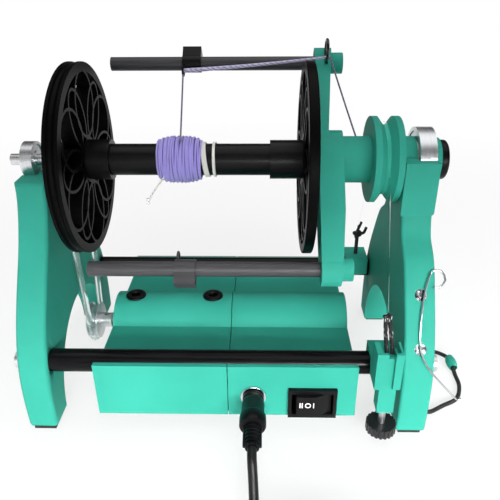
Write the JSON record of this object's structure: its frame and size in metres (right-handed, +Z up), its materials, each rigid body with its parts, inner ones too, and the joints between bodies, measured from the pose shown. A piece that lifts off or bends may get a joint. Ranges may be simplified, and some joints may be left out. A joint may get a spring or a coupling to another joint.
{
  "type": "thread winding machine",
  "caption": "Table-top electric spinning wheel that twists and winds thread: belt-driven bobbin and band-braked flyer with sliding hooks between two arched uprights.",
  "frame": {"origin": "on the table midway between the uprights, under the spindle's axis", "axes": "+X along the spindle towards the orifice, +Y to the back, +Z up"},
  "size_m": [0.2429, 0.2359, 0.1575],
  "materials": {
    "green_plastic": "matte, fine layer lines",
    "black_plastic": "semi-gloss",
    "rubber_black": "matte",
    "black_rod": "gloss",
    "dark_tube": "satin",
    "steel": "brushed",
    "black_wire": "gloss",
    "chrome_plate": "polished",
    "bronze_bush": "satin",
    "board_green": "satin",
    "clear_belt": "clear",
    "black_cord": "braided",
    "yarn": "spun"
  },
  "bodies": {
    "stand": {"left_upright": "green_plastic", "right_upright": "green_plastic", "rubber_feet": "rubber_black", "cross_rods": "black_rod", "rod_screws": "steel", "housing_left": "green_plastic", "housing_right": "green_plastic", "housing_floor": "green_plastic", "cover_grommets": "black_plastic", "floor_screws": "steel", "motor_can": "steel", "control_board": "board_green", "dc_jack": "black_plastic", "dc_jack_nut": "chrome_plate", "switch_body": "black_plastic", "tension_guide": "green_plastic", "brake_anchor": "green_plastic", "anchor_cord": "black_cord", "brake_band": "clear_belt", "brake_elastic": "rubber_black", "drive_belt": "clear_belt", "left_bearing_outer": "steel", "right_bearing_outer": "steel", "hook_magnets": "chrome_plate", "tether_cord": "black_cord", "tether_bead": "green_plastic", "power_cord": "rubber_black", "cord_coil": "rubber_black", "coil_tie": "rubber_black", "dc_plug": "black_plastic", "adapter": "black_plastic"},
    "flyer": {"flyer_shaft": "steel", "crosspiece": "green_plastic", "flyer_hub": "green_plastic", "orifice_collar": "green_plastic", "orifice_insert": "black_plastic", "flyer_arms": "dark_tube", "yarn_eye": "black_wire", "yarn_lead": "yarn", "yarn_run": "yarn", "yarn_drop": "yarn", "left_bearing_inner": "steel", "right_bearing_inner": "steel"},
    "bobbin": {"bobbin_core": "black_plastic", "left_disc": "black_plastic", "right_disc": "black_plastic", "bobbin_whorl": "black_plastic", "bobbin_bushes": "bronze_bush", "yarn_core": "yarn", "yarn_winding": "yarn"},
    "motor_rotor": {"motor_shaft": "steel", "motor_pulley": "steel"},
    "upper_hook": {"upper_hook": "black_plastic"},
    "lower_hook": {"lower_hook": "black_plastic"},
    "tension_knob": {"tension_knob": "black_plastic", "tension_screw": "steel"},
    "tension_slider": {"tension_slider": "green_plastic"},
    "switch_rocker": {"switch_rocker": "black_plastic"},
    "threading_hook": {"threading_hook": "steel"}
  },
  "joints": [
    {"name": "flyer_spin", "type": "hinge", "parent": "stand", "child": "flyer", "pos_m": [0, 0, 0.111], "axis": [1, 0, 0], "continuous": true},
    {"name": "bobbin_spin", "type": "hinge", "parent": "stand", "child": "bobbin", "pos_m": [0, 0, 0.111], "axis": [1, 0, 0], "continuous": true},
    {"name": "motor_spin", "type": "hinge", "parent": "stand", "child": "motor_rotor", "pos_m": [0, 0, 0.026], "axis": [1, 0, 0], "continuous": true},
    {"name": "upper_hook_slide", "type": "slide", "parent": "flyer", "child": "upper_hook", "axis": [1, 0, 0], "range_m": [-0.026, 0.03], "deforming": ["yarn_run", "yarn_drop"]},
    {"name": "lower_hook_slide", "type": "slide", "parent": "flyer", "child": "lower_hook", "axis": [1, 0, 0], "range_m": [-0.026, 0.03]},
    {"name": "tension_turn", "type": "hinge", "parent": "stand", "child": "tension_knob", "pos_m": [0.068, -0.053, 0.006], "axis": [0, 0, 1], "range_deg": [-721, 2881]},
    {"name": "tension_travel", "type": "slide", "parent": "stand", "child": "tension_slider", "axis": [0, 0, 1], "range_m": [-0.004, 0.001], "deforming": ["brake_elastic"]},
    {"name": "switch_tip", "type": "hinge", "parent": "stand", "child": "switch_rocker", "pos_m": [0.038, -0.0485, 0.018], "axis": [0, 0, 1], "range_deg": [-24, 0]},
    {"name": "threading_hook_pull", "type": "slide", "parent": "stand", "child": "threading_hook", "axis": [0, -1, 0], "range_m": [0, 0.03]}
  ],
  "couplings": [
    {"joint": "motor_spin", "follows": "bobbin_spin", "ratio": 1.7391},
    {"joint": "tension_turn", "follows": "tension_travel", "rad_per_m": -12566}
  ]
}
